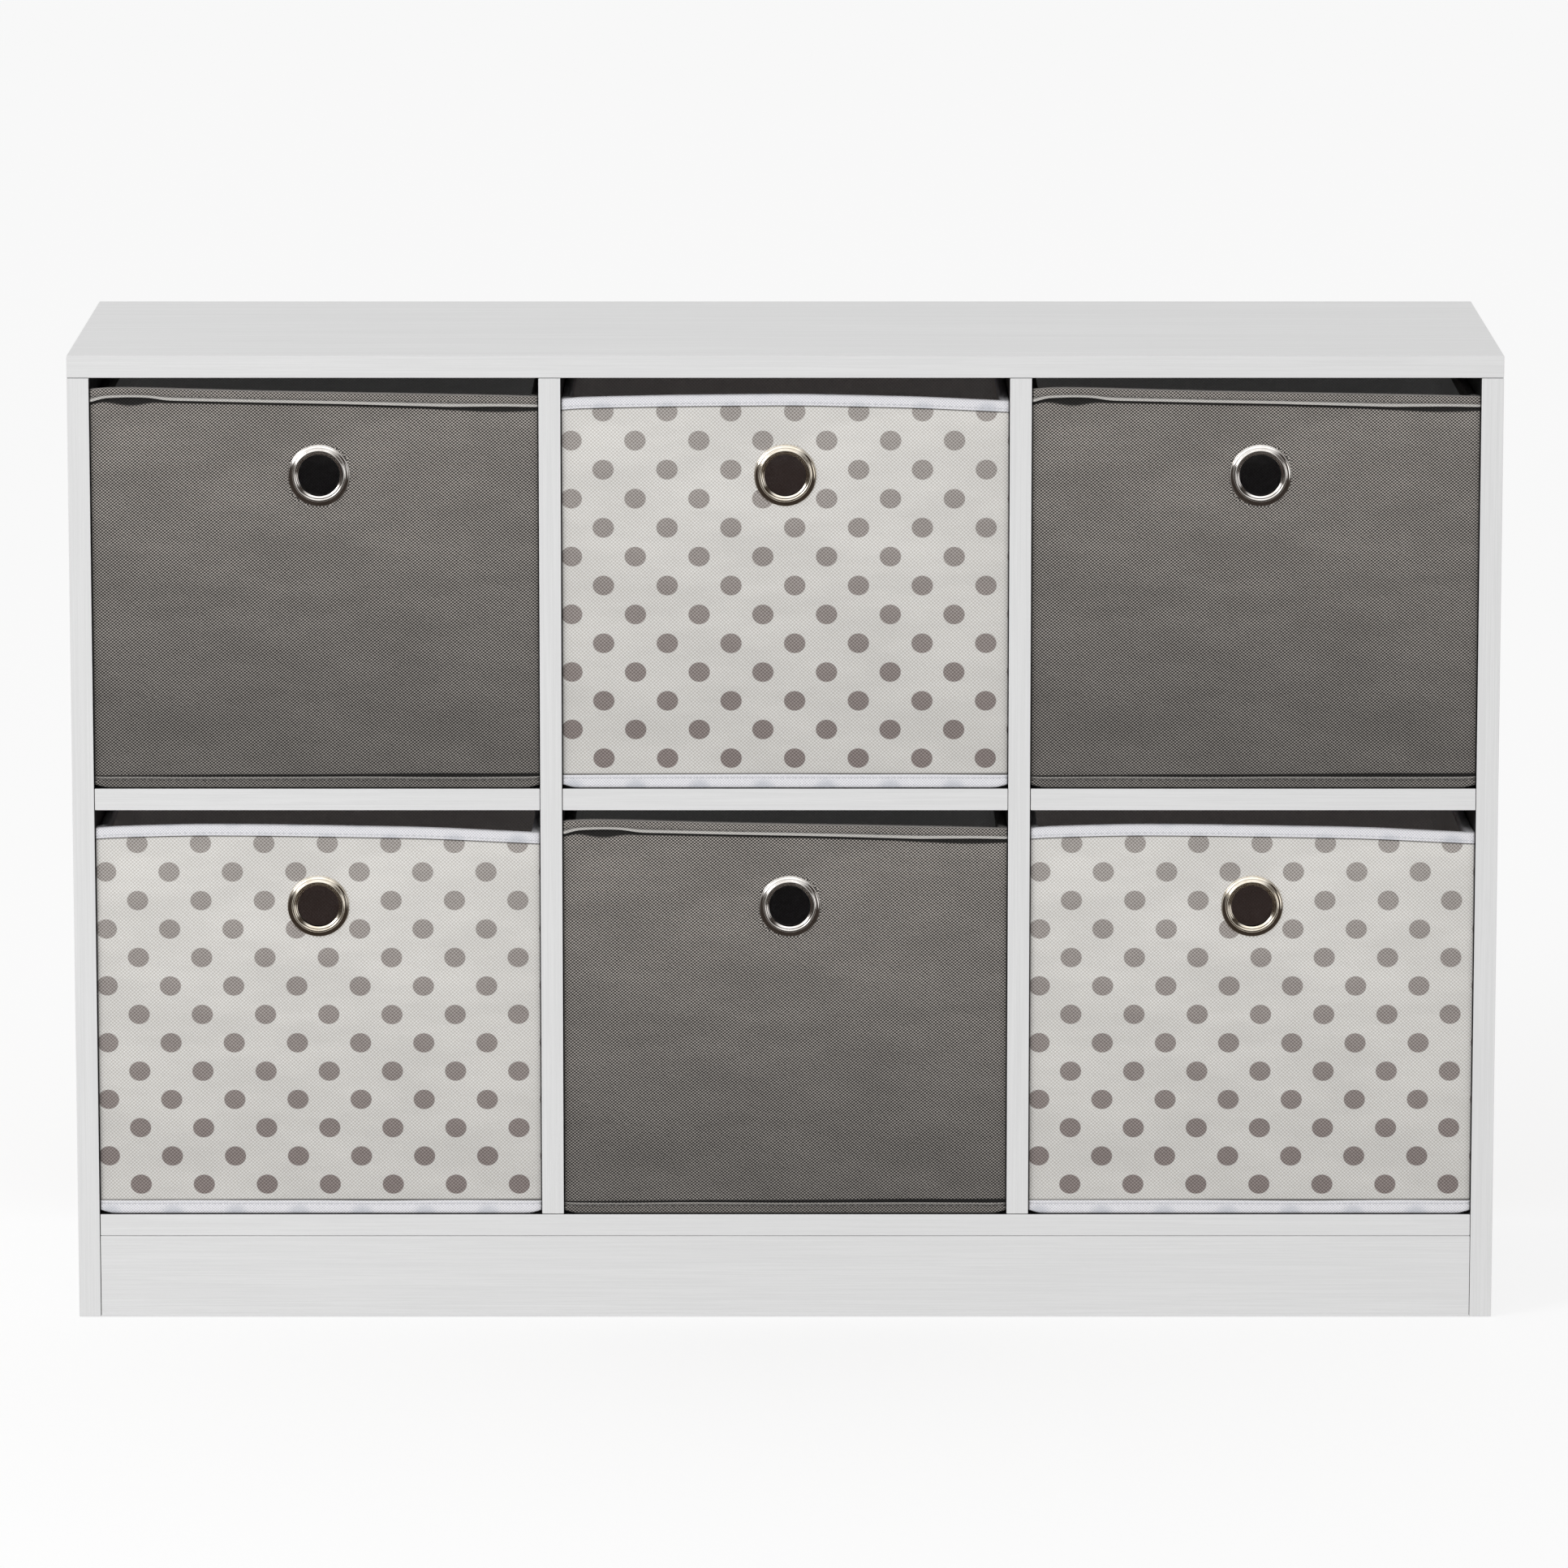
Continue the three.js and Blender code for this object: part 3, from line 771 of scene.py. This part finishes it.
def rim_run(u, facts):
    """How the points of the rim fold's section run along u, for sweep."""
    rim = rim_height(u, facts["rim"])
    reach = fold_depth(u, facts["cloth"]) / RIM_DEPTH[facts["cloth"]]
    wave = 0.12 * ripple(u, np.zeros(len(u)), facts["seed"] + 20, 22)

    def run(out, height):
        seen = out > OUTSIDE
        return out + wave * seen, rim + height * (reach if seen else 1.0)

    return run


def foot_run(u, facts):
    """The same for the foot fold, which lifts a little at the corners."""
    corner = np.exp(-(((np.abs(u) - HALF_WIDTH) / 5) ** 2))
    wave = ripple(u, np.zeros(len(u)), facts["seed"] + 60, 70)

    def run(out, height):
        up = height / CORNER_LIFT_TOP
        lift = CORNER_LIFT * corner * max(0, 1 - up)
        return out + 0.1 * wave * (out > OUTSIDE), height + lift + 0.45 * wave * up

    return run


def wall_rows(low, high):
    """Nominal heights of the rows of a wall, close together under the folds at its foot and its rim."""
    foot = np.arange(low, low + NEAR_FOLD, FOOT_ROW_STEP)
    rim = np.arange(high - NEAR_FOLD, high + 0.01, RIM_ROW_STEP)
    middle = np.linspace(foot[-1], rim[0], round((rim[0] - foot[-1]) / ROW_STEP) + 1)[1:-1]
    return np.concatenate([foot, middle, rim[:-1], [high]])


def make_skin(place, facts, eyelet, origin):
    """The outer cloth, with its foot turned under."""
    u = round_columns()
    rim = rim_height(u, facts["rim"])
    top = RIM - SKIN_TOP
    level = wall_rows(FOOT + FOOT_ROUND, top)
    z = level[:, None] + (level / top)[:, None] * (rim - RIM)
    bulges = [skin_bulge(u, row, facts, *eyelet) for row in z]
    out = np.array(bulges) * np.clip((top - level) / RIM_HOLD, 0, 1)[:, None]
    turn = np.linspace(0, math.pi / 2, TURN_STEPS + 1)[:-1, None] + np.zeros(len(u))
    out = np.concatenate([-FOOT_ROUND * (1 - np.sin(turn)), [fitted(u, row) for row in out]])
    z = np.concatenate([FOOT + FOOT_ROUND * (1 - np.cos(turn)), z])
    # Painted shade: dark lines on the skin just under the rim fold, wider where the fold stands open, and just
    # above the foot fold
    below_fold = (rim - fold_depth(u, facts["cloth"])) - z
    strength = CREASE_STRENGTH[facts["cloth"]]
    width = CREASE_WIDTH[facts["cloth"]]
    opening = open_fold_shade(u, facts["cloth"])
    painted_light = strength * np.clip(1 - (below_fold - width - opening) / (0.7 + 0.4 * opening), 0, 1)
    foot_line = FOOT_DEPTH[facts["cloth"]] + width * (1 + 0.6 * np.clip(u / HALF_WIDTH, -1, 1))
    painted_light = np.maximum(painted_light, strength * np.clip(1 - (z - foot_line) / 0.6, 0, 1))
    material = MATERIALS[facts["cloth"]]
    return wall_sheet(f"{place}_bin_skin", u, z, out, material, origin, eyelet, painted_light)


def make_lining(place, facts, eyelet, origin):
    """The inner cloth, facing into the bin."""
    u = round_columns()
    rim = rim_height(u, facts["rim"])
    top = RIM - SKIN_TOP
    level = np.linspace(top, LINING_FOOT, LINING_ROWS)
    z = level[:, None] + (level / top)[:, None] * (rim - RIM)
    slack = np.array([np.clip(0.35 * ripple(u, row, facts["seed"] + 80, 60), 0, 1) for row in z])
    material = MATERIALS[facts["cloth"] + "_lining"]
    out = np.array([fitted(u, row) for row in -WALL - slack])
    return wall_sheet(f"{place}_bin_lining", u, z, out, material, origin, eyelet, np.zeros(z.shape))


def make_seam(name, facts, origin, height, out, pitch, length, zigzag):
    """A row of stitches round the bin at a height above its foot, or below its rim if height is negative."""
    count = round(GIRTH / pitch)
    u = (np.arange(count) + 0.5) * GIRTH / count - GIRTH / 2
    base = rim_height(u, facts["rim"]) if height < 0 else 0
    z = base + height + 0.05 * ripple(u, u, facts["seed"], 15)
    pressed = fitted(u, out)
    x, y = outline(u, pressed)
    x_far, y_far = outline(u, pressed + 1)
    outward = np.stack([x_far - x, y_far - y, np.zeros(count)], 1)
    up = np.array((0.0, 0.0, 1.0))
    tilt = zigzag * np.where(np.arange(count) % 2, 1.0, -1.0)[:, None]
    along = up * np.sin(tilt) - np.cross(outward, up) * np.cos(tilt)
    centres = np.stack([x, y, z], 1)
    colour = MATERIALS["grey_thread" if facts["cloth"] == "grey" else "white_thread"]
    return stitches(name, centres, along, outward, length, THREAD_RADIUS, colour, origin)


def make_base_board(place, facts, origin):
    """The loose cloth-wrapped board: rounded edges, a groove near them and a slightly raised middle."""
    low = BOARD_LOW
    high = BOARD_LOW + 2 * BASE_HALF_HEIGHT
    rows = (
        (90, low), (6, low), (1, low + 0.15), (0, low + 0.9), (0, high - 0.9), (1, high - 0.15), (6, high),
        (9, high - 0.15), (12, high), (90, high + 0.2),
    )
    corner = 5
    material = MATERIALS[facts["cloth"] + "_lining"]
    return slab(f"{place}_bin_floor_board", BASE_HALF_WIDTH, BASE_HALF_DEPTH, corner, rows, material, origin)


def make_bottom_cloth(place, facts, origin):
    """The sewn cloth under the bin."""
    inset = FOOT_ROUND - 0.8  # so that it reaches a little way under the skin's turned foot
    corner = 4
    rows = ((90, FOOT), (2, FOOT), (0, FOOT + 0.3), (0, FOOT + 0.6), (2, FOOT + CLOTH), (90, FOOT + CLOTH))
    half_x, half_y = HALF_WIDTH - inset, HALF_DEPTH - inset
    return slab(f"{place}_bin_bottom_cloth", half_x, half_y, corner, rows, MATERIALS[facts["cloth"]], origin)


def make_bin(place, facts):
    """All the pieces of one bin, each riding on its body and standing for its CAD solids."""
    low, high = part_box(f"{place}_bin_cover")
    origin = ((low.x + high.x) / 2, (low.y + high.y) / 2, low.z)
    ring_low, ring_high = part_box(f"{place}_bin_eyelet")
    eyelet = ((ring_low.x + ring_high.x) / 2 - origin[0], (ring_low.z + ring_high.z) / 2 - origin[2])
    eyelet = tuple(part / MM for part in eyelet)
    grey = facts["cloth"] == "grey"
    edge = MATERIALS["grey"] if grey else MATERIALS["tape"]
    rim_section = GREY_RIM_SECTION if grey else TAPE_RIM_SECTION
    foot_section = GREY_FOOT_SECTION if grey else TAPE_FOOT_SECTION
    u = round_columns()

    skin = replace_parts(make_skin(place, facts, eyelet, origin), f"{place}_bin_cover")
    lining = make_lining(place, facts, eyelet, origin)
    bottom = make_bottom_cloth(place, facts, origin)
    rim = sweep(f"{place}_bin_rim_fold", u, rim_section, rim_run(u, facts), edge, origin)
    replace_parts(rim, f"{place}_bin_rim_binding")
    foot = sweep(f"{place}_bin_foot_fold", u, foot_section, foot_run(u, facts), edge, origin)
    foot_seam = GREY_FOOT_SEAM if grey else TAPE_FOOT_SEAM
    seams = [
        make_seam(f"{place}_bin_rim_seam", facts, origin, **RIM_SEAM),
        make_seam(f"{place}_bin_foot_seam", facts, origin, **foot_seam),
    ]
    metal = MATERIALS["grey_eyelet" if grey else "dotted_eyelet"]
    points = turned(EYELET_SECTION, EYELET_STEPS, eyelet[0], -HALF_DEPTH, eyelet[1], -1)
    faces = ring_faces(len(EYELET_SECTION), EYELET_STEPS, True)
    ring = make_piece(f"{place}_bin_finger_ring", points, faces, None, metal, origin)
    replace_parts(ring, f"{place}_bin_eyelet")
    for piece in (skin, lining, bottom, rim, foot, *seams, ring):
        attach(piece, f"{place}_bin")

    floor_board = make_base_board(place, facts, origin)
    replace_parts(floor_board, f"{place}_bin_base_board")
    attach(floor_board, f"{place}_base_board")
    for side in ("front", "back", "left", "right"):
        use_materials(f"{place}_bin_{side}_card", [MATERIALS["greyboard"]])


# ---- carcase -------------------------------------------------------------------------------------

# Each board's grain axis, and the faces that look into the cells and carry near-black foil, painted shade for
# the deep shade inside the cells
BOARDS = {
    "top_panel": ("x", ("-z",)),
    "left_side_panel": ("z", ("+x",)),
    "right_side_panel": ("z", ("-x",)),
    "left_divider": ("z", ("+x", "-x")),
    "right_divider": ("z", ("+x", "-x")),
    "left_shelf": ("x", ("+z", "-z")),
    "centre_shelf": ("x", ("+z", "-z")),
    "right_shelf": ("x", ("+z", "-z")),
    "bottom_panel": ("x", ("+z",)),
    "front_plinth": ("x", ()),
    "rear_plinth": ("x", ()),
}
ARRIS = 0.5  # width of the rounding on a board's edges
PIN_SPACING = 95
PIN_INSET = 5.5  # from the back panel's edges
PIN_SIDES = 14
# The pin head's section: (radius, height behind the back panel)
PIN_HEAD = ((0.2, 0.62), (0.9, 0.55), (1.5, 0.34), (1.75, 0.1), (1.75, -0.2), (0.2, -0.2))


def use_materials(node, materials):
    """Gives a CAD node these materials in place of its own."""
    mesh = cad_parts[node].data
    mesh.materials.clear()
    for material in materials:
        mesh.materials.append(material)


def soften_edges(node):
    """Rounds a board's edges a little, as foil-wrapped edges are."""
    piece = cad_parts[node]
    piece.modifiers.new("weld", "WELD").merge_threshold = 0.01 * MM
    bevel = piece.modifiers.new("arris", "BEVEL")
    bevel.width = ARRIS * MM
    bevel.segments = 3
    bevel.limit_method = "ANGLE"
    bevel.harden_normals = True


def dress_board(node, along, shaded_faces):
    """White foil on a board, and near-black foil on the faces that look into the cells, as painted shade."""
    use_materials(node, [MATERIALS["white_" + along], MATERIALS["dark_" + along]])
    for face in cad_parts[node].data.polygons:
        axis = max(range(3), key=lambda i: abs(face.normal[i]))
        look = ("+" if face.normal[axis] > 0 else "-") + "xyz"[axis]
        face.material_index = int(look in shaded_faces)
    soften_edges(node)


def dress_back_panel():
    """Raw hardboard on the back panel, with near-black foil on the face that looks into the cells, as painted
    shade.
    """
    use_materials("back_panel", [MATERIALS["hardboard"], MATERIALS["dark_z"]])
    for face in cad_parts["back_panel"].data.polygons:
        face.material_index = int(face.normal.y < -0.9)


def pin_places():
    """Centres of the pins in the back panel: along its edges, the dividers and the shelves."""
    low, high = (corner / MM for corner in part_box("back_panel"))
    dividers = [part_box(node) for node in ("left_divider", "right_divider")]
    middles = [(a.x + b.x) / 2 / MM for a, b in dividers]
    shelf_low, shelf_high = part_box("left_shelf")
    shelf = (shelf_low.z + shelf_high.z) / 2 / MM
    places = set()
    left, right = low.x + PIN_INSET, high.x - PIN_INSET
    bottom, top = low.z + PIN_INSET, high.z - PIN_INSET
    rows = round((high.z - low.z) / PIN_SPACING) + 1
    columns = round((high.x - low.x) / PIN_SPACING) + 1
    for x in (left, *middles, right):
        places.update((round(x, 2), round(z, 2)) for z in np.linspace(bottom, top, rows))
    for z in (bottom, shelf, top):
        places.update((round(x, 2), round(z, 2)) for x in np.linspace(left, right, columns))
    return sorted(places)


def make_pins():
    """Domed pin heads on the back panel's rear face, as one piece."""
    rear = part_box("back_panel")[1].y / MM
    points, faces = [], []
    for x, z in pin_places():
        first = len(points)
        points += turned(PIN_HEAD, PIN_SIDES, x, rear, z, 1)
        ring = ring_faces(len(PIN_HEAD), PIN_SIDES, False) + first
        faces += ring[:, ::-1].tolist()
        faces.append([first + k for k in range(PIN_SIDES)])
        faces.append([len(points) - 1 - k for k in range(PIN_SIDES)])
    pins = make_piece("back_panel_pins", points, faces, None, MATERIALS["steel"], (0, 0, 0))
    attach(pins, "carcase")


# ---- floor, light and camera ---------------------------------------------------------------------

CAMERA_PLACE = (-0.00085, -6.1893, 1.4451)
CAMERA_PITCH = math.radians(90 - 10.078)
CAMERA_LENS = 207.09
FLOOR_HALF = 25
FLOOR_TONE = 0.35
BACKGROUND = 0.94  # brightness that the camera sees behind the object
SKY = 0.77  # brightness that lights cloth and boards


def make_floor():
    """A pale floor with a soft glow of its own, so that it stays as bright as the background behind it."""
    glow = BACKGROUND - FLOOR_TONE * SKY
    shader = Shader("studio_floor", Roughness=0.9, Specular_IOR_Level=0.0, Emission_Color=(1.0, 1.0, 1.0))
    place = shader.node("TexCoord", {}, "Object")
    clouds = shader.node("TexNoise", {"Vector": place, "Scale": 0.5})
    low, high = ((FLOOR_TONE * share,) * 3 for share in (0.98, 1.0))
    shader.out(Base_Color=shader.mix(clouds, low, high), Emission_Strength=glow)
    half = FLOOR_HALF / MM
    points = [(-half, -half, 0), (half, -half, 0), (half, half, 0), (-half, half, 0)]
    floor = make_piece("studio_floor", points, [[0, 1, 2, 3]], None, shader.material, (0, 0, -0.0004))
    floor.visible_glossy = False
    floor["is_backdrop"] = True


# What is mirrored: (direction, cosine where the glow starts, cosine where it is full, brightness)
MIRRORED_LIGHTS = (
    ((-0.25, -0.35, 0.9), 0.45, 0.8, 1.5),
    ((0.0, -1.0, 0.12), 0.86, 0.97, 0.75),
    ((0.93, -0.3, 0.05), 0.93, 0.98, 1.6),
    ((0.0, 1.0, 0.16), 0.72, 0.93, 0.95),
)
MIRRORED_DARK = (0.045, 0.036, 0.031)


def make_world():
    """Even white light on cloth and boards. Gloss mirrors soft boxes above, ahead, right and behind."""
    world = bpy.data.worlds.new("studio")
    bpy.context.scene.world = world
    tree = NodeTree(world)
    direction = tree.node("TexCoord", {}, "Generated")
    mirrored = MIRRORED_DARK
    for towards, start, full, brightness in MIRRORED_LIGHTS:
        facing = tree.vector("DOT_PRODUCT", direction, Vector(towards).normalized(), "Value")
        mirrored = tree.mix(tree.step(facing, start, full), mirrored, (brightness,) * 3)
    light = tree.mix(tree.node("LightPath", {}, "Is Glossy Ray"), (SKY,) * 3, mirrored)
    seen = tree.mix(tree.node("LightPath", {}, "Is Camera Ray"), light, (BACKGROUND,) * 3)
    tree.put(tree.nodes["Background"].inputs["Color"], seen)


def add_light(name, place, target, size, power):
    """A square soft light aimed at a point."""
    data = bpy.data.lights.new(name, "AREA")
    data.size = size
    data.energy = power
    light = bpy.data.objects.new(name, data)
    light.location = place
    light.rotation_euler = (Vector(target) - Vector(place)).to_track_quat("-Z", "Y").to_euler()
    bpy.context.scene.collection.objects.link(light)


def add_camera():
    """The camera, as fitted to the photo's view."""
    data = bpy.data.cameras.new("camera")
    data.lens = CAMERA_LENS
    data.sensor_width = 36
    data.clip_end = 200
    camera = bpy.data.objects.new("camera", data)
    camera.location = CAMERA_PLACE
    camera.rotation_euler = (CAMERA_PITCH, 0, 0)
    bpy.context.scene.collection.objects.link(camera)
    bpy.context.scene.camera = camera


# ---- make everything -----------------------------------------------------------------------------

MATERIALS = {
    "white_x": foil("white_foil_across", "x", WHITE, WHITE_PORE, 0.42, 0.03),
    "white_z": foil("white_foil_upright", "z", WHITE, WHITE_PORE, 0.42, 0.03),
    "dark_x": foil("painted_shade_foil_across", "x", SHADE_BLACK, SHADE_BLACK_PORE, 0.5, 0.04),
    "dark_z": foil("painted_shade_foil_upright", "z", SHADE_BLACK, SHADE_BLACK_PORE, 0.5, 0.04),
    "hardboard": raw_hardboard(),
    "steel": pin_steel(),
    "grey": cloth(
        "grey_cloth", GREY_PERIOD, GREY_RAISED, GREY_PIT, GREY_FOOT_SHADE, pits=0.095, clouding=0.10,
    ),
    "dotted": cloth(
        "dotted_cloth", CREAM_PERIOD, CREAM, CREAM_PIT, CREAM_FOOT_SHADE, (DOT_INK, DOT_INK_PIT), 0.10,
    ),
    "grey_lining": cloth(
        "grey_bin_lining", GREY_PERIOD, GREY_LINING, GREY_LINING_PIT, LINING_FOOT_SHADE, glow=GREY_GLOW,
    ),
    "dotted_lining": cloth(
        "dotted_bin_lining", CREAM_PERIOD, DOTTED_LINING, DOTTED_LINING_PIT, LINING_FOOT_SHADE,
        glow=DOTTED_GLOW,
    ),
    "tape": tape(),
    "grey_thread": thread("grey_thread", (0.16, 0.155, 0.15)),
    "white_thread": thread("white_thread", (0.78, 0.79, 0.82)),
    "greyboard": greyboard(),
    "grey_eyelet": nickel("nickel", (0.86, 0.83, 0.80), (0.70, 0.66, 0.62)),
    "dotted_eyelet": nickel("warm_nickel", (0.86, 0.80, 0.70), (0.72, 0.64, 0.52)),
}

add_camera()
make_world()
make_floor()
add_light("key", (-3.2, -2.6, 2.4), (0, 0, 0.35), 1.8, 48)
bpy.context.scene.view_settings.view_transform = "Standard"

for board, (along, shaded_faces) in BOARDS.items():
    dress_board(board, along, shaded_faces)
dress_back_panel()
make_pins()
for place, facts in BINS.items():
    make_bin(place, facts)

corners = [[list(corner) for corner in box] for box in (cad_box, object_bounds())]
